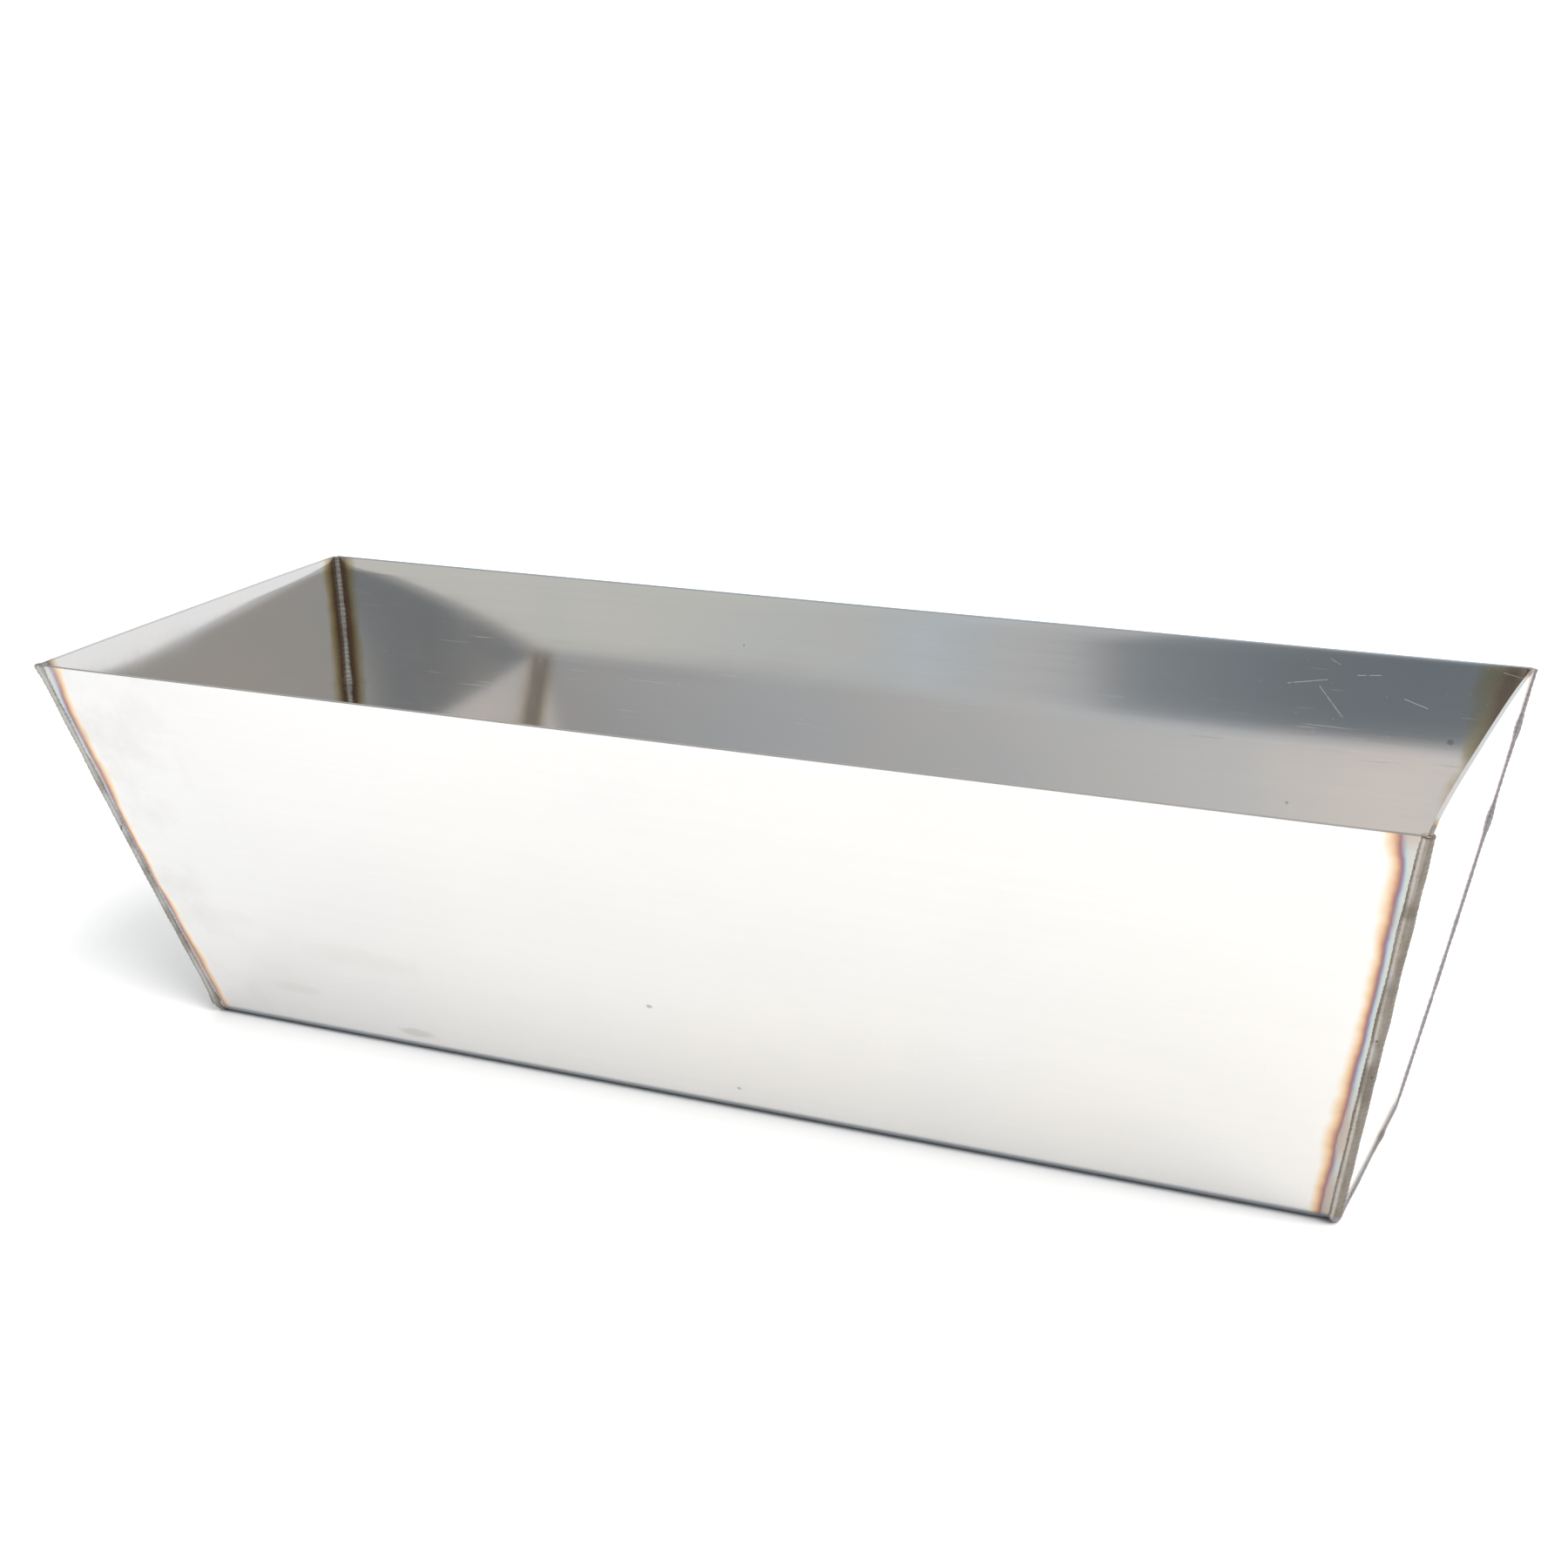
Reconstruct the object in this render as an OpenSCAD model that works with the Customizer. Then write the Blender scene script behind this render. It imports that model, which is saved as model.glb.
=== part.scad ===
// Drywall mud pan: one folded trough, two flat end plates and the weld metal that joins them.
// Millimetres. X runs along the pan, Y across it and Z up; the underside rests on z = 0.

/* [Pan] */
// length over the two end plates at the rim
top_length = 305; // [200:1:420]
// width over the two long walls at the rim
top_width = 114; // [85:1:150]
// length over the two end plates at the underside
base_length = 269; // [170:1:380]
// width over the two long walls at the underside, to the sharp corner
base_width = 58; // [40:1:80]
// height from the underside to the rim
height = 92; // [60:1:120]

/* [Sheet] */
// thickness of the stainless sheet
sheet = 0.8; // [0.6:0.1:1.6]
// outside radius of the two long folds
fold_r = 4; // [3:0.1:8]

/* [Welds] */
// reach of the outer bead from the inside corner, past both sheet edges
bead_r = 1.5; // [1.2:0.1:2.6]
// reach of the root bead into the pan, smaller than the fold inside
root_r = 0.9; // [0.4:0.1:1.6]

/* [Hidden] */
$fn = 96;
over = 5;
steel = [0.78, 0.78, 0.77];
plate_steel = [0.72, 0.73, 0.74];
bead_steel = [0.62, 0.58, 0.54];
root_steel = [0.52, 0.47, 0.42];
// lean of the long walls and of the ends from upright
wall_a = atan((top_width - base_width) / 2 / height);
end_a = atan((top_length - base_length) / 2 / height);
// middle of each fold
fold_y = near(base_width / 2 - fold_r * (1 - sin(wall_a)) / cos(wall_a));
// where the inside faces would meet the underside
inner_y0 = base_width / 2 - sheet / cos(wall_a);
inner_x0 = base_length / 2 - sheet / cos(end_a);
// the seam seen square to an end plate: lean of its sides, bend radius and middle of the bend
seam_a = atan(cos(end_a) * tan(wall_a));
seam_r = fold_r - sheet;
seam_v = near(sheet / cos(end_a) + seam_r);
seam_u = near(inner_y0 + (seam_v * sin(seam_a) - seam_r) / cos(seam_a));
seam_len = height / cos(end_a) + over;
// flats that make up each bend
bend_steps = 10;
// the outer bead is dressed off the underside of each fold up to here
clean_z = fold_r / 8;

// to the nearest hundredth, so that pieces placed by different routes meet exactly
function near(v) = round(v * 100) / 100;

// points round a bend from its lowest point up to where a wall leaning by a starts
function bend(middle, r, a) =
  [for (i = [0:bend_steps]) let (t = (90 - a) * i / bend_steps - 90)
    middle + r * [cos(t), sin(t)]];

// closes the outline whose right half is given, from the floor up
function both_sides(right) =
  concat(right, [for (i = [len(right) - 1:-1:0]) [-right[i][0], right[i][1]]]);

// outline of the pan's section, set in from the outside face, standing in X and Y
module section(inset) {
  top_y = base_width / 2 - inset / cos(wall_a) + (height + over) * tan(wall_a);
  polygon(both_sides(concat(bend([fold_y, fold_r], fold_r - inset, wall_a),
    [[top_y, height + over]])));
}

// the section run along the whole length
module run_along(inset) {
  rotate([90, 0, 90])
    translate([0, 0, -top_length]) linear_extrude(2 * top_length) section(inset);
}

// everything between the end planes, set in from their outside faces, up to the rim
module between_ends(inset) {
  x0 = base_length / 2 - inset / cos(end_a);
  x1 = x0 + height * tan(end_a);
  rotate([90, 0, 0]) translate([0, 0, -top_width]) linear_extrude(2 * top_width)
    polygon([[-x0, 0], [x0, 0], [x1, height], [-x1, height]]);
}

// the space inside the pan
module cavity() {
  intersection() {
    run_along(sheet);
    between_ends(sheet);
  }
}

// slab up to the rim, beyond the middle of the pan on the right
module right_half() {
  translate([0, -top_width, 0]) cube([top_length, 2 * top_width, height]);
}

// lays shapes drawn square to the right end plate's inside face in place
module on_end_face() {
  multmatrix([[0, sin(end_a), cos(end_a), inner_x0], [1, 0, 0, 0],
    [0, cos(end_a), -sin(end_a), 0], [0, 0, 0, 1]]) children();
}

// outline of an end plate, seen square to it: its edges follow the inside of the trough
module plate_outline() {
  side = bend([seam_u, seam_v], seam_r, seam_a);
  polygon(both_sides(concat(side,
    [side[bend_steps] + seam_len * [sin(seam_a), cos(seam_a)]])));
}

// the end plate before its top is cut level
module plate_blank() {
  on_end_face() linear_extrude(sheet) plate_outline();
}

// block on one side of the end plate's inside face; side is 1 for outside the pan
module face_block(side) {
  on_end_face() translate([-top_width, -over, side > 0 ? 0 : -4 * over])
    cube([2 * top_width, 2 * height, 4 * over]);
}

// round bar along the seam up a long wall; side is -1 for the front, 1 for the back
module side_bar(r, side) {
  on_end_face() mirror([side < 0 ? 1 : 0, 0, 0])
    translate([seam_u, seam_v, 0]) rotate([0, 0, -seam_a]) translate([seam_r, 0, 0])
      rotate([-90, 0, 0]) cylinder(h = seam_len, r = r);
}

// round bar round the bend of a fold
module bend_bar(r, side) {
  on_end_face() mirror([side < 0 ? 1 : 0, 0, 0])
    translate([seam_u, seam_v, 0]) rotate([0, 0, -90])
      rotate_extrude(angle = 90 - seam_a) translate([seam_r, 0]) circle(r);
}

// round bar along the straight floor seam
module floor_bar(r) {
  on_end_face() translate([-seam_u, seam_v - seam_r, 0]) rotate([0, 90, 0])
    cylinder(h = 2 * seam_u, r = r);
}

// weld metal outside the end plate's inside face: fills the notch and crowns over the plate
module crown_out() {
  difference() {
    intersection() {
      children();
      face_block(1);
      right_half();
    }
    plate_blank();
  }
}

// weld metal that crowns over the trough's outside face, from a height upward
module crown_in(from_z) {
  difference() {
    intersection() {
      children();
      face_block(-1);
      translate([0, -top_width, from_z]) cube([top_length, 2 * top_width, height - from_z]);
    }
    run_along(0);
  }
}

module side_weld(side) {
  crown_out() side_bar(bead_r, side);
  crown_in(0) side_bar(bead_r, side);
}

module floor_weld() {
  crown_out() floor_bar(bead_r);
  for (s = [-1, 1]) {
    crown_out() bend_bar(bead_r, s);
    crown_in(clean_z) bend_bar(bead_r, s);
  }
}

// weld metal that came through into the inside corners
module side_root(side) {
  intersection() {
    side_bar(root_r, side);
    cavity();
  }
}

module floor_root() {
  intersection() {
    floor_bar(root_r);
    cavity();
  }
  for (s = [-1, 1]) intersection() {
    bend_bar(root_r, s);
    cavity();
  }
}

module trough() {
  color(steel) difference() {
    intersection() {
      run_along(0);
      between_ends(sheet);
    }
    run_along(sheet);
  }
}

module right_end_plate() {
  color(plate_steel) intersection() {
    plate_blank();
    right_half();
  }
}
module left_end_plate() { mirror([1, 0, 0]) right_end_plate(); }

module right_front_weld() { color(bead_steel) side_weld(-1); }
module right_back_weld() { color(bead_steel) side_weld(1); }
module right_floor_weld() { color(bead_steel) floor_weld(); }
module left_front_weld() { mirror([1, 0, 0]) right_front_weld(); }
module left_back_weld() { mirror([1, 0, 0]) right_back_weld(); }
module left_floor_weld() { mirror([1, 0, 0]) right_floor_weld(); }

module right_front_root() { color(root_steel) side_root(-1); }
module right_back_root() { color(root_steel) side_root(1); }
module right_floor_root() { color(root_steel) floor_root(); }
module left_front_root() { mirror([1, 0, 0]) right_front_root(); }
module left_back_root() { mirror([1, 0, 0]) right_back_root(); }
module left_floor_root() { mirror([1, 0, 0]) right_floor_root(); }

trough();
left_end_plate();
right_end_plate();
left_front_weld();
left_floor_weld();
left_back_weld();
right_front_weld();
right_floor_weld();
right_back_weld();
left_front_root();
left_floor_root();
left_back_root();
right_front_root();
right_floor_root();
right_back_root();
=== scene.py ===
"""Mud pan: folded trough, two end plates and hand-run welds, with heat tint and wear."""

import math

import bpy
from mathutils import Matrix, Vector, noise


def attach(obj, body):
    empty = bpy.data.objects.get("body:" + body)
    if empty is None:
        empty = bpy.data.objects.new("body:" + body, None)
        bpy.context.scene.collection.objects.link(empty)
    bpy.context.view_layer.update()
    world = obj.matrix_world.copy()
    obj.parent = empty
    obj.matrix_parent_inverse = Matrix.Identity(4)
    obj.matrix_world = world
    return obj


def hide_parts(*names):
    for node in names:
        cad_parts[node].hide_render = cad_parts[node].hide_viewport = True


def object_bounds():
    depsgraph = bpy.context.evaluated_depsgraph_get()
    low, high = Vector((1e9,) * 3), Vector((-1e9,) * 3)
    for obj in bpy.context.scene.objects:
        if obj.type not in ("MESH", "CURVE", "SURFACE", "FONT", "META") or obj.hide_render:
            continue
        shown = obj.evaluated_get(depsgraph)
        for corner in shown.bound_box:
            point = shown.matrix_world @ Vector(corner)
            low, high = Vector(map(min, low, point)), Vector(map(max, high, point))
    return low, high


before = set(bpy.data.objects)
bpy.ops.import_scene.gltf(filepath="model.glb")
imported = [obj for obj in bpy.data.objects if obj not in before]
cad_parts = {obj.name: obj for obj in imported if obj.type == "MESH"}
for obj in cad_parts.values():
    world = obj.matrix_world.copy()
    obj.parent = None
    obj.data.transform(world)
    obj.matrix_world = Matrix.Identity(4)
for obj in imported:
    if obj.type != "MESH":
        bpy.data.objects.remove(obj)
cad_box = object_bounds()

# ------------------------------------------------------------------ sizes, in metres
MM = 0.001
TOP_LENGTH = 305 * MM
TOP_WIDTH = 114 * MM
BASE_LENGTH = 269 * MM
BASE_WIDTH = 58 * MM
HEIGHT = 92 * MM
SHEET = 0.8 * MM
FOLD_R = 4 * MM

WALL_LEAN = math.atan((TOP_WIDTH - BASE_WIDTH) / 2 / HEIGHT)
END_LEAN = math.atan((TOP_LENGTH - BASE_LENGTH) / 2 / HEIGHT)
INNER_X0 = BASE_LENGTH / 2 - SHEET / math.cos(END_LEAN)
INNER_Y0 = BASE_WIDTH / 2 - SHEET / math.cos(WALL_LEAN)
FOLD_Y = BASE_WIDTH / 2 - FOLD_R * (1 - math.sin(WALL_LEAN)) / math.cos(WALL_LEAN)
SEAM_LEAN = math.atan(math.cos(END_LEAN) * math.tan(WALL_LEAN))
SEAM_R = FOLD_R - SHEET
SEAM_V = SHEET / math.cos(END_LEAN) + SEAM_R
SEAM_U = INNER_Y0 + (SEAM_V * math.sin(SEAM_LEAN) - SEAM_R) / math.cos(SEAM_LEAN)

SHEARED = 0.22 * MM       # depth of the dull sheared edge round the rim
RIM_EASE = 0.14 * MM      # softened edge of the sheared sheet
UNEVEN = 0.1 * MM         # slow waviness of the thin sheet
WAVES = (13, 16)          # and how many of its waves there are to a metre, along and up
BEAD_R = 1.38 * MM        # outer bead
THIN_R = 1.1 * MM         # outer bead where it was run faster
BLOB = 0.2 * MM           # and the height of its blobs there
BEAD_OUT = 0.1 * MM       # how far the outer bead's middle lies outside the inside corner
ROOT_R = 0.85 * MM        # bead that came through inside
ROOT_RIPPLE, ROOT_PITCH = 0.05 * MM, 1.7 * MM
CLEAR = 0.02 * MM         # kept between the beads and the CAD model's outer box
BACK_BELLY = 2.3 * MM     # how far the thin long walls stand out at half height
FRONT_BELLY = 0.4 * MM
# the middle of each end plate: how far it stands out at the rim, and further at half height
PLATE_BOWS = {"left": (0.65 * MM, -0.9 * MM), "right": (-0.9 * MM, 0.2 * MM)}


# ------------------------------------------------------------------ camera
VIEW_FROM = Vector((219.32, -452.52, 232.47)) * MM
VIEW_ANGLES = (25.5, 18.41, -1.247)  # round the pan from the front, down on it, and roll
LENS, SENSOR = 55.4, 36


def make_camera():
    """Looks at the pan from the right of its front, a little from above."""
    azimuth, elevation, roll = (math.radians(a) for a in VIEW_ANGLES)
    forward = Vector((-math.sin(azimuth) * math.cos(elevation),
                      math.cos(azimuth) * math.cos(elevation), -math.sin(elevation)))
    level = Vector((math.cos(azimuth), math.sin(azimuth), 0))
    over = level.cross(forward)
    right = level * math.cos(roll) + over * math.sin(roll)
    up = right.cross(forward)
    data = bpy.data.cameras.new("camera")
    data.lens = LENS
    data.sensor_width = SENSOR
    data.clip_start = 0.01
    data.clip_end = 200
    camera = bpy.data.objects.new("camera", data)
    place = Matrix((right, up, -forward)).transposed().to_4x4()
    place.translation = VIEW_FROM
    camera.matrix_world = place
    bpy.context.scene.collection.objects.link(camera)
    bpy.context.scene.camera = camera


# ------------------------------------------------------------------ meshes
def mesh_object(name, points, faces):
    mesh = bpy.data.meshes.new(name)
    mesh.from_pydata([tuple(p) for p in points], [], faces)
    mesh.validate()
    mesh.update()
    piece = bpy.data.objects.new(name, mesh)
    bpy.context.scene.collection.objects.link(piece)
    return piece


def finished(piece):
    """Applies a piece's modifiers into a plain mesh."""
    bpy.context.view_layer.update()
    graph = bpy.context.evaluated_depsgraph_get()
    mesh = bpy.data.meshes.new_from_object(piece.evaluated_get(graph))
    mesh.name = piece.name
    piece.modifiers.clear()
    piece.data = mesh
    return piece


EASED_ABOVE, SHARP_ABOVE = math.radians(40), math.radians(50)


def ease_edges(piece):
    """Rounds a sheet's sheared edges and shades its bends smooth."""
    bevel = piece.modifiers.new("eased", "BEVEL")
    bevel.width = RIM_EASE
    bevel.segments = 2
    bevel.limit_method = "ANGLE"
    bevel.angle_limit = EASED_ABOVE
    finished(piece)
    piece.data.shade_smooth()
    piece.data.set_sharp_from_angle(angle=SHARP_ABOVE)


def mark_inside(piece, flags):
    """Notes on each point whether it faces into the pan, for the finish to read."""
    note = piece.data.attributes.new("inside", "FLOAT", "POINT")
    note.data.foreach_set("value", [float(f) for f in flags])


def spread(a, b, count):
    """Evenly spaced values from a to b, with both."""
    return [a + (b - a) * i / count for i in range(count + 1)]


WALL_STEPS, BEND_STEPS, FLOOR_STEPS, LENGTH_STEPS = 26, 12, 8, 110
PLATE_ACROSS, PLATE_UP = 36, 30
SEAM_FLOOR_STEPS, SEAM_WALL_STEPS = 60, 70


def half_section(inset):
    """From the middle of the floor out round the fold and up to the rim."""
    r = FOLD_R - inset
    points = [(y, inset) for y in spread(0, FOLD_Y, FLOOR_STEPS)[:-1]]
    for t in spread(-math.pi / 2, -WALL_LEAN, BEND_STEPS):
        points.append((FOLD_Y + r * math.cos(t), FOLD_R + r * math.sin(t)))
    y0, z0 = points[-1]
    y1 = BASE_WIDTH / 2 - inset / math.cos(WALL_LEAN) + HEIGHT * math.tan(WALL_LEAN)
    for f in spread(0, 1, WALL_STEPS)[1:]:
        points.append((y0 + (y1 - y0) * f, z0 + (HEIGHT - z0) * f))
    return points


def wave(x, z, seed):
    """Slow unevenness of thin sheet, from -1 to 1."""
    return noise.noise(Vector((x * WAVES[0], z * WAVES[1], seed * 7.3)))


def wall_rise(z):
    """0 where a long wall leaves its fold, 1 at the rim."""
    return min(max((z - FOLD_R) / (HEIGHT - FOLD_R), 0), 1)


def wall_belly(z, side):
    """How far a long wall and its seams stand out, level, from their flat place."""
    rise = wall_rise(z)
    amount = BACK_BELLY if side > 0 else FRONT_BELLY
    return amount * 4 * rise * (1 - rise) / math.cos(WALL_LEAN)


def wall_bow(u, z, side):
    """How far a long wall stands out, square to it; u is -1 and 1 at its ends."""
    uneven = UNEVEN * wall_rise(z) * (1 - u ** 8) * wave(u * INNER_X0, z, 3 + side)
    return wall_belly(z, side) * math.cos(WALL_LEAN) + uneven


def make_trough():
    """The folded sheet, as its section carried along the pan in steps."""
    outer, inner = half_section(0), half_section(SHEET)
    outside = [(-y, z) for y, z in reversed(outer)] + outer[1:]
    inside = [(-y, z) for y, z in reversed(inner)] + inner[1:]
    loop = outside + inside[::-1]
    points, count = [], len(loop)
    for u in spread(-1, 1, LENGTH_STEPS):
        for y, z in loop:
            side = 1 if y > 0 else -1
            out = wall_bow(u, z, side)
            at_rim = z > HEIGHT - RIM_EASE / 2
            if at_rim:
                y += side * out / math.cos(WALL_LEAN)
            else:
                y += side * out * math.cos(WALL_LEAN)
                z -= out * math.sin(WALL_LEAN)
            points.append((u * (INNER_X0 + z * math.tan(END_LEAN)), y, z))
    faces = []
    for i in range(LENGTH_STEPS):
        for j in range(count):
            k = (j + 1) % count
            faces.append((i * count + j, (i + 1) * count + j,
                          (i + 1) * count + k, i * count + k))
    faces.append(tuple(range(count)))
    last = LENGTH_STEPS * count
    faces.append(tuple(last + j for j in reversed(range(count))))
    trough = mesh_object("folded_trough", points, faces)
    mark_inside(trough, [j >= len(outside) for _ in range(LENGTH_STEPS + 1) for j in range(count)])
    ease_edges(trough)
    return trough


def on_end(u, v, w, side):
    """A point given square to an end plate's inside face: across, up and out."""
    x = INNER_X0 + v * math.sin(END_LEAN) + w * math.cos(END_LEAN)
    z = v * math.cos(END_LEAN) - w * math.sin(END_LEAN)
    return Vector((side * x, u, z))


def plate_rows():
    """Half widths of an end plate up its slope: (v, half width)."""
    rows = [(SEAM_V - SEAM_R * math.cos(t), SEAM_U + SEAM_R * math.sin(t))
            for t in spread(0, math.pi / 2 - SEAM_LEAN, BEND_STEPS)]
    v0, u0 = rows[-1]
    v1 = HEIGHT / math.cos(END_LEAN)
    u1 = u0 + (v1 - v0) * math.tan(SEAM_LEAN)
    return rows + [(v0 + (v1 - v0) * f, u0 + (u1 - u0) * f)
                   for f in spread(0, 1, PLATE_UP)[1:]]


def make_end_plate(name, side, lip, belly):
    """A plate as two layers of points; lip and belly are its bows, as in PLATE_BOWS."""
    rows = plate_rows()
    v_top = rows[-1][0]
    points = []
    for w in (0, SHEET):
        for v, half in rows:
            rise = v / v_top
            level = w * math.tan(END_LEAN) if v == v_top else 0
            for c in spread(-1, 1, PLATE_ACROSS):
                bow = (1 - c ** 4) * (lip * rise ** 1.5 + belly * 4 * rise * (1 - rise)
                                      + UNEVEN * rise * wave(c * 60 * MM, v, 9 * side))
                wide = half + wall_belly(v * math.cos(END_LEAN), c)
                point = on_end(wide * c, v + level, w, side)
                point.x += side * bow
                points.append(point)
    n, m = PLATE_ACROSS + 1, len(rows)
    faces = []
    for layer in (0, 1):
        for i in range(m - 1):
            for j in range(PLATE_ACROSS):
                a = layer * n * m + i * n + j
                quad = (a, a + 1, a + n + 1, a + n)
                faces.append(quad if (layer == 1) == (side > 0) else quad[::-1])
    # the points round one layer's edge, joined to those of the other layer
    ring = (list(range(n)) + [i * n + n - 1 for i in range(1, m)]
            + [(m - 1) * n + j for j in reversed(range(n - 1))]
            + [i * n for i in reversed(range(1, m - 1))])
    for a, b in zip(ring, ring[1:] + ring[:1]):
        quad = (a, b, b + n * m, a + n * m)
        faces.append(quad if side > 0 else quad[::-1])
    plate = mesh_object(name, points, faces)
    mark_inside(plate, [i < n * m for i in range(2 * n * m)])
    ease_edges(plate)
    return plate


# ------------------------------------------------------------------ weld paths
def seam_path(side, part, out):
    """Points along a seam's inside corner, moved out of the pan by a distance each way."""
    r = SEAM_R + out
    if part == "floor":
        bend = spread(0, math.pi / 2 - SEAM_LEAN, BEND_STEPS)[1:]
        start = [on_end(-SEAM_U - r * math.sin(t), SEAM_V - r * math.cos(t), out, side)
                 for t in reversed(bend)]
        middle = [on_end(u, SEAM_V - r, out, side)
                  for u in spread(-SEAM_U, SEAM_U, SEAM_FLOOR_STEPS)]
        end = [on_end(SEAM_U + r * math.sin(t), SEAM_V - r * math.cos(t), out, side)
               for t in bend]
        return start + middle + end
    wall = 1 if part == "back" else -1
    u0 = SEAM_U + r * math.cos(SEAM_LEAN)
    v0 = SEAM_V - r * math.sin(SEAM_LEAN)
    reach = (HEIGHT / math.cos(END_LEAN) - v0) / math.cos(SEAM_LEAN)
    points = []
    for s in spread(0, reach, SEAM_WALL_STEPS):
        v = v0 + s * math.cos(SEAM_LEAN)
        wide = u0 + s * math.sin(SEAM_LEAN) + wall_belly(v * math.cos(END_LEAN), wall)
        points.append(on_end(wall * wide, v, out, side))
    return points


# ------------------------------------------------------------------ bead generator
def node_maker(tree):
    """Returns a function that adds a node: type, settings, then socket values or links."""
    def add(kind, sockets=None, **settings):
        made = tree.nodes.new(kind)
        stops = settings.pop("stops", None)
        for key, value in settings.items():
            setattr(made, key, value)
        if stops:
            ramp = made.color_ramp
            while len(ramp.elements) < len(stops):
                ramp.elements.new(0.5)
            for element, (at, colour) in zip(ramp.elements, stops):
                element.position = at
                element.color = (*colour, 1) if len(colour) == 3 else colour
        for key, value in (sockets or {}).items():
            socket = made.inputs[key]
            if isinstance(value, Value):
                value = value.socket
            if isinstance(value, bpy.types.NodeSocket):
                tree.links.new(value, socket)
            else:
                socket.default_value = value
        return made
    return add


class Value:
    """A number socket whose Python operators add Math nodes."""

    def __init__(self, add, socket):
        self.add, self.socket = add, socket

    def maths(self, operation, *others):
        made = self.add("ShaderNodeMath", {0: self, **{
            i + 1: other for i, other in enumerate(others)}}, operation=operation)
        return Value(self.add, made.outputs[0])

    def flipped(self, operation, other):
        made = self.add("ShaderNodeMath", {0: other, 1: self}, operation=operation)
        return Value(self.add, made.outputs[0])

    def __add__(self, other):
        return self.maths("ADD", other)

    def __radd__(self, other):
        return self.maths("ADD", other)

    def __sub__(self, other):
        return self.maths("SUBTRACT", other)

    def __rsub__(self, other):
        return self.flipped("SUBTRACT", other)

    def __mul__(self, other):
        return self.maths("MULTIPLY", other)

    def __rmul__(self, other):
        return self.maths("MULTIPLY", other)

    def __truediv__(self, other):
        return self.maths("DIVIDE", other)

    def __rtruediv__(self, other):
        return self.flipped("DIVIDE", other)

    def __pow__(self, other):
        return self.maths("POWER", other)

    def __abs__(self):
        return self.maths("ABSOLUTE")

    def lower(self, other):
        return self.maths("MINIMUM", other)

    def upper(self, other):
        return self.maths("MAXIMUM", other)

    def sine(self):
        return self.maths("SINE")

    def between(self, low, high):
        """0 below low, 1 above high, smooth in between."""
        made = self.add("ShaderNodeMapRange", {0: self, 1: low, 2: high, 3: 0.0, 4: 1.0},
                        interpolation_type="SMOOTHSTEP")
        return Value(self.add, made.outputs[0])


# how often the bead's pace, its width and its small lumps change, to a metre
DRIFT_SCALE, SWELL_SCALE, LUMP_SCALE = 160, 95, 260.0
# length of one step of a bead's mesh, and its sides
BEAD_STEP, BEAD_SIDES = 0.16 * MM, 18


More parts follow.
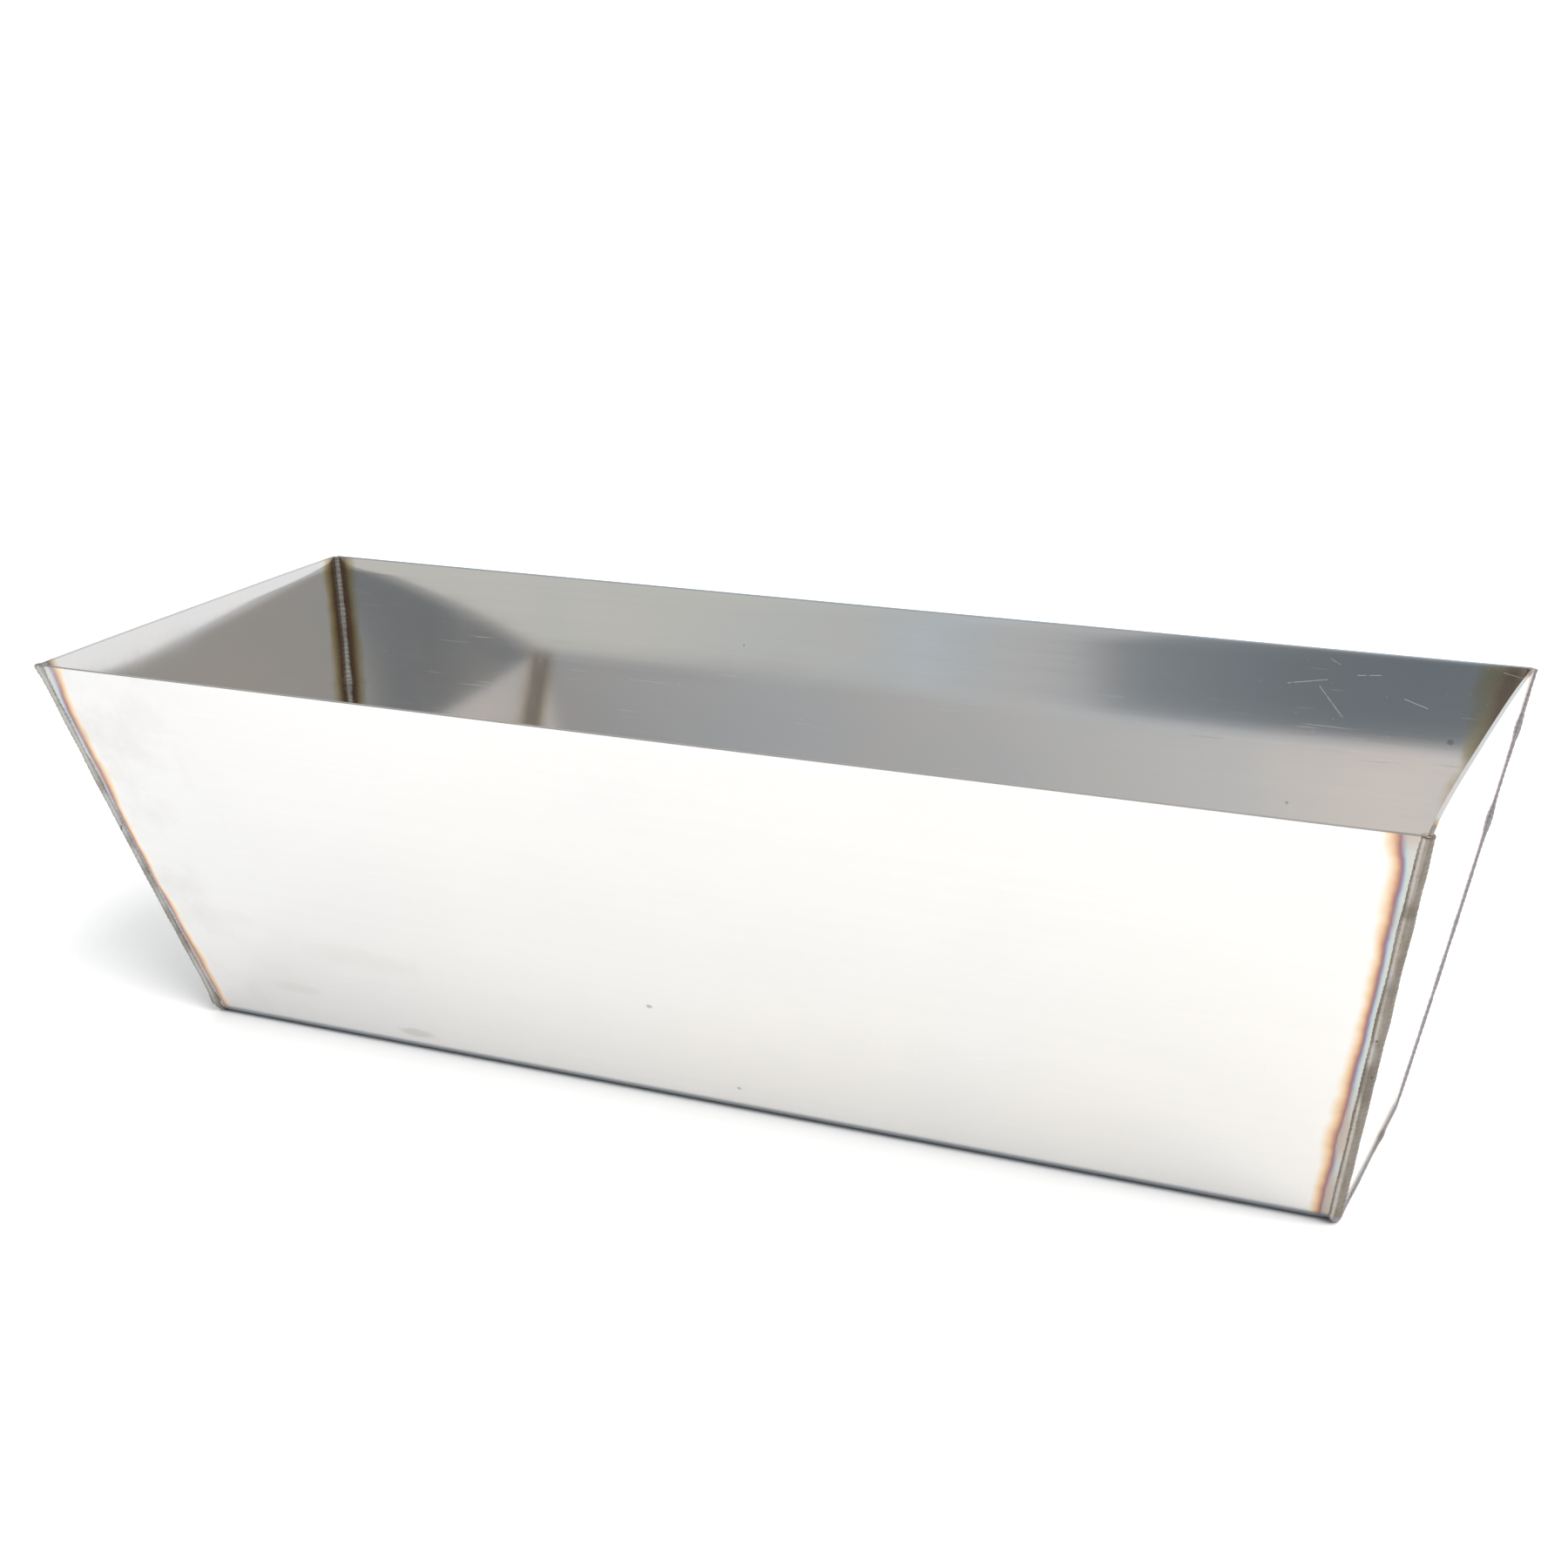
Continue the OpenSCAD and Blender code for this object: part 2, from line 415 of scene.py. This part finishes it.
def bead_tree():
    """Sweeps a rippled, uneven bead along a line of edges."""
    tree = bpy.data.node_groups.new("weld_bead", "GeometryNodeTree")
    face = tree.interface
    face.new_socket("Path", in_out="INPUT", socket_type="NodeSocketGeometry")
    for label, value in (("Radius", BEAD_R), ("Ripple Pitch", 1.25 * MM),
                         ("Ripple Height", 0.09 * MM), ("Lump Height", 0.12 * MM),
                         ("Blob Height", 0.0)):
        made = face.new_socket(label, in_out="INPUT", socket_type="NodeSocketFloat")
        made.default_value = value
    face.new_socket("Seed", in_out="INPUT", socket_type="NodeSocketFloat")
    face.new_socket("Finish", in_out="INPUT", socket_type="NodeSocketMaterial")
    face.new_socket("Bead", in_out="OUTPUT", socket_type="NodeSocketGeometry")
    add = node_maker(tree)
    given = add("NodeGroupInput").outputs
    pitch = Value(add, given["Ripple Pitch"])
    seed = Value(add, given["Seed"])
    line = add("GeometryNodeMeshToCurve", {"Mesh": given["Path"]}).outputs["Curve"]
    line = add("GeometryNodeResampleCurve", {"Curve": line, "Length": BEAD_STEP},
               mode="LENGTH").outputs["Curve"]
    travel = add("GeometryNodeSplineParameter").outputs["Length"]
    keep = add("GeometryNodeCaptureAttribute", domain="POINT")
    keep.capture_items.new("FLOAT", "Travel")
    tree.links.new(line, keep.inputs["Geometry"])
    tree.links.new(travel, keep.inputs["Travel"])
    ring = add("GeometryNodeCurvePrimitiveCircle",
               {"Resolution": BEAD_SIDES, "Radius": given["Radius"]}).outputs["Curve"]
    tube = add("GeometryNodeCurveToMesh", {"Curve": keep.outputs["Geometry"],
               "Profile Curve": ring, "Fill Caps": True}).outputs["Mesh"]
    along = Value(add, keep.outputs["Travel"])
    spot = add("GeometryNodeInputPosition").outputs[0]
    drift = Value(add, add("ShaderNodeTexNoise", {
        "W": along * DRIFT_SCALE + seed, "Scale": 1.0, "Detail": 1.0},
        noise_dimensions="1D").outputs[0])
    crest = abs(((along / pitch + (drift - 0.5) * 2.2) * math.pi).sine())
    lump = Value(add, add("ShaderNodeTexNoise", {
        "Vector": spot, "W": seed, "Scale": LUMP_SCALE, "Detail": 2.0},
        noise_dimensions="4D").outputs[0])
    swell = Value(add, add("ShaderNodeTexNoise", {
        "W": along * SWELL_SCALE + seed * 3.1, "Scale": 1.0, "Detail": 0.0},
        noise_dimensions="1D").outputs[0])
    blob = (swell - 0.62).upper(0) * Value(add, given["Blob Height"]) * 5
    push = (blob + (crest - 0.6) * Value(add, given["Ripple Height"])
            + (lump + swell - 1) * Value(add, given["Lump Height"]) * 2)
    normal = add("GeometryNodeInputNormal").outputs[0]
    shift = add("ShaderNodeVectorMath", {0: normal, "Scale": push},
                operation="SCALE").outputs[0]
    bead = add("GeometryNodeSetPosition", {"Geometry": tube, "Offset": shift})
    bead = add("GeometryNodeSetShadeSmooth", {"Geometry": bead.outputs[0]})
    bead = add("GeometryNodeRealizeInstances", {"Geometry": bead.outputs[0]})
    bead = add("GeometryNodeSetMaterial", {"Geometry": bead.outputs[0],
                                           "Material": given["Finish"]})
    add("NodeGroupOutput", {"Bead": bead.outputs[0]})
    return tree


def make_bead(name, path, tree, finish, **sizes):
    """Runs a bead along a path, kept inside the pan's outer box."""
    edges = [(i, i + 1) for i in range(len(path) - 1)]
    mesh = bpy.data.meshes.new(name)
    mesh.from_pydata([tuple(p) for p in path], edges, [])
    piece = bpy.data.objects.new(name, mesh)
    bpy.context.scene.collection.objects.link(piece)
    modifier = piece.modifiers.new("bead", "NODES")
    modifier.node_group = tree
    sockets = {s.name: s.identifier for s in tree.interface.items_tree
               if s.in_out == "INPUT"}
    for label, value in {"Finish": finish, **sizes}.items():
        modifier[sockets[label.replace("_", " ")]] = value
    finished(piece)
    for v in piece.data.vertices:
        for i in range(3):
            v.co[i] = min(max(v.co[i], cad_box[0][i] + CLEAR), cad_box[1][i] - CLEAR)
    return piece


# ------------------------------------------------------------------ materials
class Finish:
    """A material under construction, with the places and noises it is made from."""

    def __init__(self, name):
        self.material = bpy.data.materials.new(name)
        self.material.use_nodes = True
        tree = self.material.node_tree
        tree.nodes.clear()
        self.add = node_maker(tree)
        self.where = self.add("ShaderNodeTexCoord").outputs["Object"]
        split = self.add("ShaderNodeSeparateXYZ", {0: self.where})
        self.x, self.y, self.z = (Value(self.add, split.outputs[i]) for i in range(3))

    def inside(self):
        """1 on the faces that look into the pan, 0 outside."""
        made = self.add("ShaderNodeAttribute", attribute_name="inside")
        return Value(self.add, made.outputs["Fac"])

    def at_back(self):
        return self.y.between(-1 * MM, 1 * MM)

    def at_right(self):
        return self.x.between(-1 * MM, 1 * MM)

    def stretched(self, x, y, z):
        """Object coordinates drawn out by a scale each way."""
        return self.add("ShaderNodeMapping", {"Vector": self.where,
                        "Scale": (x, y, z)}).outputs[0]

    def cloud(self, scale, detail=3.0, place=None, rough=0.5):
        """Soft noise from 0 to 1, with a number of puffs to a metre."""
        made = self.add("ShaderNodeTexNoise", {"Vector": place or self.where,
                        "Scale": scale, "Detail": detail, "Roughness": rough})
        return Value(self.add, made.outputs[0])

    def ramp(self, at, stops):
        return self.add("ShaderNodeValToRGB", {0: at}, stops=stops).outputs[0]

    def mix(self, share, a, b):
        made = self.add("ShaderNodeMix", {0: share, 6: a, 7: b}, data_type="RGBA")
        return made.outputs[2]

    def metal(self, colour, roughness, bumps):
        """Ends the material; bumps are (height, distance, strength)."""
        normal = None
        for height, distance, strength in bumps:
            sockets = {"Height": height, "Distance": distance, "Strength": strength}
            if normal:
                sockets["Normal"] = normal
            normal = self.add("ShaderNodeBump", sockets).outputs[0]
        shader = self.add("ShaderNodeBsdfPrincipled", {
            "Base Color": colour, "Roughness": roughness, "Metallic": 1.0, "Normal": normal})
        self.add("ShaderNodeOutputMaterial", {"Surface": shader.outputs[0]})
        return self.material


STEEL = (0.735, 0.725, 0.71)
# heated steel beside a bead: outside, where gas kept it bright, and inside, where it scaled
OUTER_TINT = [(0.00, (0.50, 0.50, 0.47)), (0.12, (0.46, 0.50, 0.48)), (0.19, (0.36, 0.43, 0.47)),
              (0.25, (0.28, 0.28, 0.36)), (0.31, (0.25, 0.18, 0.24)), (0.37, (0.29, 0.16, 0.16)),
              (0.46, (0.45, 0.26, 0.18)), (0.57, (0.62, 0.42, 0.27)), (0.76, (0.72, 0.61, 0.47)),
              (1.00, STEEL)]
INNER_TINT = [(0.00, (0.40, 0.34, 0.28)), (0.14, (0.32, 0.25, 0.20)), (0.32, (0.33, 0.26, 0.20)),
              (0.46, (0.45, 0.39, 0.28)), (0.62, (0.56, 0.51, 0.38)), (0.82, (0.67, 0.64, 0.57)),
              (1.00, STEEL)]
# brown blotches in the outer tint, and scale beside the front roots
BROWN_TINT, BURNT_TINT = (0.42, 0.34, 0.29, 1), (0.16, 0.135, 0.12, 1)
# where the tint starts, from a seam's inside corner, how far it reaches from there, and how
# much later the outer tint starts at the rim
OUTER_START, OUTER_REACH = 1.1 * MM, 4.3 * MM
INNER_START, INNER_REACH = 0.6 * MM, 5.2 * MM
RIM_SHIFT = 1.2 * MM


def heat_tint(f, base, distance):
    """Tints a colour beside a seam, whose inside corner is a distance away.

    Also returns how far along the tint a point is: 0 at the bead, 1 where the tint ends."""
    slow = f.cloud(38, 1.0)
    uneven = (f.cloud(170, 2.0) - 0.5) * 0.6 + (slow - 0.5) * 1.3
    inside, at_right = f.inside(), f.at_right()
    by_rim = f.z.between(HEIGHT - 12 * MM, HEIGHT + 2 * MM)
    high_left = f.z.between(HEIGHT - 50 * MM, HEIGHT) * (1 - at_right)
    outer_start = OUTER_START * (0.5 + at_right * 0.5) + by_rim * RIM_SHIFT
    outer_reach = OUTER_REACH * (0.75 + at_right * 0.25) * (1 + by_rim * 0.3 + high_left * 0.6)
    inner_reach = INNER_REACH * (1 + at_right * 0.8)
    start = outer_start + inside * (INNER_START - outer_start)
    reach = outer_reach + inside * (inner_reach - outer_reach)
    at = (distance - start) / (reach * (1 + uneven))
    brown = slow.between(0.45, 0.54) * (1 - at.between(0.28, 0.36)) * 0.8
    outer = f.mix(brown, f.ramp(at, OUTER_TINT), BROWN_TINT)
    burnt = (1 - at.between(0.25, 0.7)) * (1 - f.at_back()) * 0.6
    inner = f.mix(burnt, f.ramp(at, INNER_TINT), BURNT_TINT)
    tint = f.mix(inside, outer, inner)
    return f.mix(at.between(0.75, 1.05), tint, base), at


def segment(f, x0, z0, x1, z1):
    """Distance in metres from a short straight line on a long wall, seen square to it."""
    dx, dz = x1 - x0, z1 - z0
    length = math.hypot(dx, dz)
    along = ((f.x - x0 * MM) * dx + (f.z - z0 * MM) * dz) / length
    across = abs((f.x - x0 * MM) * dz - (f.z - z0 * MM) * dx) / length
    past = abs(along - length * MM / 2) - length * MM / 2
    return across.upper(past)


def blot(f, x0, z0, wide, tall):
    """1 in the middle of an uneven patch on a long wall, fading to 0 at its edge."""
    ragged = (f.cloud(240, 3.0) - 0.5) * 0.9
    far = (((f.x - x0 * MM) / (wide * MM)) ** 2 + ((f.z - z0 * MM) / (tall * MM)) ** 2) ** 0.5
    return 1 - (far + ragged).between(0.35, 1.0)


# marks left by handling on the long walls, in mm along the pan and up: both ends of each
# scratch, the place and half sizes of each blot, and last how deep a stain is
BACK_SCRATCHES = [(100.5, 84, 109, 85.5), (107.5, 84, 113, 78), (115.5, 87, 120.5, 87.5),
                  (146, 90.5, 151, 89.5), (109.5, 90, 111.5, 89), (126, 83, 131, 81.5)]
BACK_SPOTS = [(136.5, 75, 0.9, 0.7), (103, 58.5, 0.6, 0.5), (-32, 80, 0.4, 0.4)]
FRONT_STAINS = [(-77, 5, 5.5, 1.4, 0.30), (-146, 77, 4.0, 6.5, 0.14), (-124, 30, 14, 3.0, 0.06),
                (-86, 24, 22, 4.0, 0.06), (-108, 12, 9, 2.0, 0.10)]
FRONT_SPOTS = [(-12, 25, 0.9, 0.6), (6, 6.5, 0.7, 0.5)]
SCRATCH_WIDTH = 0.12 * MM
SCRATCHED, STAINED, DUSTY = (0.92, 0.88, 0.82, 1), (0.36, 0.30, 0.25, 1), (0.50, 0.49, 0.47, 1)
BACK_SPOT, FRONT_SPOT = (0.2, 0.21, 0.2, 1), (0.2, 0.2, 0.2, 1)


def wall_marks(f, colour):
    """Adds the scratches, spots and stains to the trough's colour; also returns the scratches."""
    inside, at_back = f.inside(), f.at_back()
    back = inside * at_back
    front = (1 - inside) * (1 - at_back)
    nearest = segment(f, *BACK_SCRATCHES[0])
    for ends in BACK_SCRATCHES[1:]:
        nearest = nearest.lower(segment(f, *ends))
    broken = f.cloud(900, 2.0).between(0.30, 0.45)
    line = 1 - nearest.between(SCRATCH_WIDTH / 6, SCRATCH_WIDTH)
    scratch = line * back * (0.3 + broken * 0.7)
    colour = f.mix(scratch * 0.42, colour, SCRATCHED)
    for spot in BACK_SPOTS:
        colour = f.mix(blot(f, *spot) * back * 0.45, colour, BACK_SPOT)
    for *place, depth in FRONT_STAINS:
        colour = f.mix(blot(f, *place) * front * depth, colour, STAINED)
    near_left = 1 - f.x.between(-155 * MM, -95 * MM)
    dust = f.cloud(60, 4.0, rough=0.65).between(0.42, 0.70) * near_left
    colour = f.mix(dust * front * 0.45, colour, DUSTY)
    for place in FRONT_SPOTS:
        colour = f.mix(blot(f, *place) * front * 0.55, colour, FRONT_SPOT)
    return colour, scratch


# the steel's own slight differences of tone, and one painted shade
COOL_STEEL, WARM_STEEL = (0.725, 0.718, 0.708, 1), (0.75, 0.735, 0.715, 1)
COOL_PATCH, WARM_PATCH = (0.69, 0.71, 0.73, 1), (0.76, 0.725, 0.70, 1)
# painted shade: the first tone below darkens the outside towards the left end, standing for the
# pan's shadow that it reflects from the floor
LEFT_END_SHADE, GRAIN_TONE = (0.61, 0.612, 0.615, 1), (0.55, 0.54, 0.53, 1)
SMUDGE_TONE, HAIR_TONE = (0.60, 0.60, 0.60, 1), (0.95, 0.94, 0.92, 1)
# the folds' outer curve, darkened as painted shade for the dark gap under the pan that it
# reflects, and the sheared edges of the rim
FOLD_PAINTED_SHADE = (0.15, 0.18, 0.22, 1)
FRONT_EDGE, BACK_EDGE = (0.30, 0.285, 0.27, 1), (0.29, 0.36, 0.40, 1)


def sheet_finish(name, seam, edge, marks=None):
    """Brushed sheet, tinted along a seam; edge is how matte its sheared edge is."""
    f = Finish(name)
    inside = f.inside()
    grain = f.cloud(1.0, 3.0, f.stretched(60, 4200, 4200), 0.6)
    streak = f.cloud(1.0, 2.0, f.stretched(12, 700, 700), 0.5)
    smudge = f.cloud(26, 3.0)
    haze = f.cloud(8, 2.0)
    hair = f.cloud(1.0, 1.0, f.stretched(70, 2600, 2600)).between(0.70, 0.78)
    speck = f.cloud(2400, 1.0).between(0.76, 0.82)
    tone = f.mix(haze.between(0.35, 0.65), COOL_STEEL, WARM_STEEL)
    patch = f.cloud(17, 2.0, rough=0.6).between(0.40, 0.62)
    tone = f.mix(inside * 0.55, tone, f.mix(patch, COOL_PATCH, WARM_PATCH))
    # painted shade: the outside is darkened towards the left end, for the shadow it reflects
    left_end_shade_mask = (1 - f.x.between(-150 * MM, -45 * MM)) * (1 - inside)
    tone = f.mix(left_end_shade_mask * 0.6, tone, LEFT_END_SHADE)
    tone = f.mix((grain + streak - 1) * 0.12 + 0.04, tone, GRAIN_TONE)
    tone = f.mix(smudge.between(0.52, 0.72) * 0.07, tone, SMUDGE_TONE)
    tone = f.mix(hair * 0.10, tone, HAIR_TONE)
    colour, at = heat_tint(f, tone, seam(f))
    rough = (0.085 + (grain - 0.5) * 0.04 + (streak - 0.5) * 0.03
             + smudge.between(0.5, 0.75) * 0.04 + (1 - at.between(0.2, 1.0)) * 0.14
             + hair * 0.10 + speck * 0.2)
    if marks:
        colour, scratch = marks(f, colour)
        rough = rough + scratch * 0.3
        # painted shade: the outside of the fold just above the floor is darkened to stand for the
        # contact shadow it reflects
        low = 1 - f.z.between(1.5 * MM, 2.9 * MM)
        fold = low * abs(f.y).between(FOLD_Y - 2.5 * MM, FOLD_Y)
        colour = f.mix(fold * (1 - inside) * 0.9, colour, FOLD_PAINTED_SHADE)
    sheared = f.z.between(HEIGHT - SHEARED, HEIGHT - SHEARED / 2.2)
    colour = f.mix(sheared * edge, colour, f.mix(f.at_back(), FRONT_EDGE, BACK_EDGE))
    rough = rough + sheared * 0.25
    return f.metal(colour, rough, [(grain, 0.012 * MM, 0.03), (streak, 0.04 * MM, 0.025)])


def trough_seam(f):
    """How far a point lies in from an end plate's inside face."""
    return (INNER_X0 + f.z * math.tan(END_LEAN) - abs(f.x)) * math.cos(END_LEAN)


def wall_distance(f):
    """How far a point lies in from a long wall's inside face."""
    rise = ((f.z - FOLD_R) / (HEIGHT - FOLD_R)).upper(0).lower(1)
    belly = (FRONT_BELLY + f.at_back() * (BACK_BELLY - FRONT_BELLY)) * 4 * rise * (1 - rise)
    return (INNER_Y0 + f.z * math.tan(WALL_LEAN) - abs(f.y)) * math.cos(WALL_LEAN) + belly


def plate_seam(f):
    """How far a point lies in from the trough's inside face."""
    return wall_distance(f).lower(f.z - SHEET)


# weld metal's ramps of tone, the tarnish on its flanks and a painted highlight along the crest
WELD_TONES = [(0.30, (0.15, 0.13, 0.11)), (0.42, (0.23, 0.20, 0.165)),
              (0.52, (0.32, 0.285, 0.25)), (0.62, (0.29, 0.30, 0.305)),
              (0.75, (0.55, 0.53, 0.51))]
WELD_TARNISH, WELD_CREST_HIGHLIGHT = (0.155, 0.135, 0.11, 1), (0.60, 0.59, 0.56, 1)
ROOT_TONES = [(0.30, (0.26, 0.22, 0.18)), (0.45, (0.36, 0.30, 0.25)),
              (0.55, (0.46, 0.39, 0.33)), (0.66, (0.56, 0.50, 0.43)),
              (0.80, (0.80, 0.75, 0.68))]
ROOT_TARNISH, ROOT_CREST_HIGHLIGHT = (0.45, 0.31, 0.22, 1), (0.55, 0.50, 0.45, 1)
MAUVE, GREY_BLUE, PIT = (0.27, 0.26, 0.30, 1), (0.36, 0.38, 0.40, 1), (0.05, 0.04, 0.035, 1)


def bead_finish(name, tones, tarnish, crest):
    """Weld metal with lines along the bead, darker flanks, a lighter crown painted as a highlight,
    and pits.
    """
    f = Finish(name)
    across, at_right = trough_seam(f), f.at_right()
    lines = f.add("ShaderNodeCombineXYZ", {0: across * 1500, 1: wall_distance(f) * 1500,
                                           2: f.z * 70}).outputs[0]
    patch = f.cloud(1.0, 2.0, lines) * 0.6 + f.cloud(190, 3.0) * 0.4
    fine = f.cloud(900, 4.0, rough=0.65)
    colour = f.ramp(patch * 0.8 + fine * 0.2, tones)
    flank = 1 - across.between(-1.1 * MM, 0.0)
    colour = f.mix(flank * 0.6, colour, tarnish)
    # painted highlight: a lighter band along the bead's crown
    crown = 1 - (abs(across - 0.25 * MM) / (0.4 * MM)).between(0.3, 1.0)
    colour = f.mix(crown * 0.45, colour, crest)
    back_or_floor = f.y.between(20 * MM, 26 * MM).upper(1 - f.z.between(1.6 * MM, 3 * MM))
    colour = f.mix(at_right * back_or_floor * 0.7, colour, MAUVE)
    colour = f.mix((1 - at_right) * 0.35, colour, GREY_BLUE)
    colour = f.mix(f.cloud(90, 2.0).between(0.5, 0.66) * 0.7, colour, tarnish)
    pit = f.cloud(520, 2.0).between(0.70, 0.76)
    colour = f.mix(pit * 0.8, colour, PIT)
    return f.metal(colour, 0.32 + fine * 0.15, [(fine, 0.06 * MM, 0.25)])


# ------------------------------------------------------------------ build the pan
make_camera()

trough_steel = sheet_finish("brushed_sheet", trough_seam, 0.9, wall_marks)
plate_steel = sheet_finish("plain_sheet", plate_seam, 0.3)
outer_weld = bead_finish("weld_bead", WELD_TONES, WELD_TARNISH, WELD_CREST_HIGHLIGHT)
inner_weld = bead_finish("weld_root", ROOT_TONES, ROOT_TARNISH, ROOT_CREST_HIGHLIGHT)

bead = bead_tree()
pieces = [(make_trough(), "trough", "brushed_sheet", trough_steel)]
for end, side in (("left", -1), ("right", 1)):
    plate = make_end_plate(f"{end}_plate_sheet", side, *PLATE_BOWS[end])
    pieces.append((plate, f"{end}_end_plate", "plain_sheet", plate_steel))
    for i, part in enumerate(("front", "floor", "back")):
        seed = 11.0 * i + 5.0 * (side + 2)
        thick = end == "right" and part == "front"
        weld = make_bead(f"{end}_{part}_weld_bead", seam_path(side, part, BEAD_OUT), bead,
                         outer_weld, Radius=BEAD_R if thick else THIN_R,
                         Blob_Height=0.0 if thick else BLOB, Seed=seed)
        pieces.append((weld, f"{end}_{part}_weld", "weld_bead", None))
        root = make_bead(f"{end}_{part}_weld_root", seam_path(side, part, 0), bead,
                         inner_weld, Radius=ROOT_R, Ripple_Height=ROOT_RIPPLE,
                         Ripple_Pitch=ROOT_PITCH, Seed=seed + 2)
        pieces.append((root, f"{end}_{part}_root", "weld_root", None))

for piece, node, slot, material in pieces:
    if material:
        piece.data.materials.clear()
        piece.data.materials.append(material)
    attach(piece, "root")
    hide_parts(node)


# ------------------------------------------------------------------ stage and light
FLOOR_REACH, FLOOR_Z = 60, -0.05 * MM
FLOOR_SHADE = (0.9, 0.9, 0.9, 1)
KEY_FROM = Vector((1.1, -0.6, 1.22))
KEY_ANGLE, KEY_ENERGY, KEY_SHADE = math.radians(40), 3.1, (1.0, 0.99, 0.97)


def make_floor():
    """A pale floor, a hair below the underside so that the two faces don't coincide."""
    floor = mesh_object("floor", [(-FLOOR_REACH, -FLOOR_REACH, FLOOR_Z),
                                  (FLOOR_REACH, -FLOOR_REACH, FLOOR_Z),
                                  (FLOOR_REACH, FLOOR_REACH, FLOOR_Z),
                                  (-FLOOR_REACH, FLOOR_REACH, FLOOR_Z)], [(0, 1, 2, 3)])
    material = bpy.data.materials.new("pale_floor")
    material.use_nodes = True
    shader = material.node_tree.nodes["Principled BSDF"]
    shader.inputs["Base Color"].default_value = FLOOR_SHADE
    shader.inputs["Roughness"].default_value = 0.9
    floor.data.materials.append(material)


def make_key_light():
    """A broad soft light from the right, a little in front, that the steel doesn't mirror."""
    data = bpy.data.lights.new("key", "SUN")
    data.angle = KEY_ANGLE
    data.energy = KEY_ENERGY
    data.color = KEY_SHADE
    light = bpy.data.objects.new("key", data)
    light.visible_glossy = False
    light.matrix_world = KEY_FROM.to_track_quat("Z", "Y").to_matrix().to_4x4()
    bpy.context.scene.collection.objects.link(light)


# brightness of the studio round the pan, by degrees from the front towards the left,
# near the floor and half way up; the front is an open door, its right side a grey wall
BRIGHTEST = 1.3
LOW = [(-180, (1.08, 1.07, 1.07)), (-95, (1.04, 1.03, 1.02)), (-64, (0.58, 0.55, 0.51)),
       (-32, (0.50, 0.50, 0.49)), (-28.5, (0.26, 0.28, 0.30)), (-25.8, (0.24, 0.265, 0.285)),
       (-24.2, (0.46, 0.47, 0.465)), (2, (0.45, 0.44, 0.42)), (18, (0.54, 0.56, 0.58)),
       (28, (0.66, 0.665, 0.63)), (60, (0.72, 0.71, 0.68)), (120, (0.95, 0.95, 0.95)),
       (140, (1.08, 1.08, 1.08))]
DOORWAY = (0.19, 0.215, 0.235)
GLASS = (0.60, 0.70, 0.78)
GLASS_AT = 21.3
HIGH = [(-180, (1.15, 1.10, 1.06)), (-100, (1.10, 1.08, 1.06)), (-30, (0.75, 0.75, 0.75)),
        (30, (0.58, 0.61, 0.65)), (100, (0.54, 0.57, 0.61)), (141, (0.50, 0.51, 0.52)),
        (145, (0.64, 0.64, 0.64)), (152, (0.73, 0.73, 0.73)), (158, (0.90, 0.87, 0.84)),
        (166, (1.10, 1.05, 1.01))]
CEILING = (0.975, 0.988, 1.0, 1)
BACKDROP, BACKDROP_GLOW = (1, 1, 1, 1), 1.1
DEGREES = 180 / math.pi


def make_world():
    """Light from all round that only the steel and the floor see; the camera sees plain white."""
    world = bpy.data.worlds.new("studio")
    bpy.context.scene.world = world
    world.use_nodes = True
    tree = world.node_tree
    tree.nodes.clear()
    add = node_maker(tree)
    split = add("ShaderNodeSeparateXYZ", {0: add("ShaderNodeTexCoord").outputs["Generated"]})
    x, y, z = (Value(add, split.outputs[i]) for i in range(3))
    azimuth = (0 - x).maths("ARCTAN2", 0 - y) * DEGREES
    rise = z.maths("ARCSINE") * DEGREES

    def ring(stops):
        shades = [((a + 180) / 360, tuple(c / BRIGHTEST for c in shade)) for a, shade in stops]
        return add("ShaderNodeValToRGB", {0: azimuth / 360 + 0.5}, stops=shades).outputs[0]

    def blend(share, a, b):
        return add("ShaderNodeMix", {0: share, 6: a, 7: b}, data_type="RGBA").outputs[2]

    def plain(shade):
        return (*(c / BRIGHTEST for c in shade), 1)

    left_jamb = azimuth.between(16.7, 17.5) * 0.75 + azimuth.between(11.5, 17) * 0.25
    doorway = azimuth.between(2, 8) * (1 - left_jamb)
    low = blend(doorway, ring(LOW), plain(DOORWAY))
    glass = 1 - abs(azimuth - GLASS_AT).between(0.2, 1.0)
    low = blend(glass * 0.5, low, plain(GLASS))
    sides = blend(rise.between(24, 33), low, ring(HIGH))
    shade = blend(rise.between(46, 60), sides, CEILING)
    studio = add("ShaderNodeBackground", {"Color": shade, "Strength": BRIGHTEST})
    white = add("ShaderNodeBackground", {"Color": BACKDROP, "Strength": BACKDROP_GLOW})
    seen = add("ShaderNodeLightPath").outputs["Is Camera Ray"]
    both = add("ShaderNodeMixShader", {0: seen, 1: studio.outputs[0], 2: white.outputs[0]})
    add("ShaderNodeOutputWorld", {"Surface": both.outputs[0]})


make_floor()
make_key_light()
make_world()
bpy.context.scene.view_settings.view_transform = "Standard"
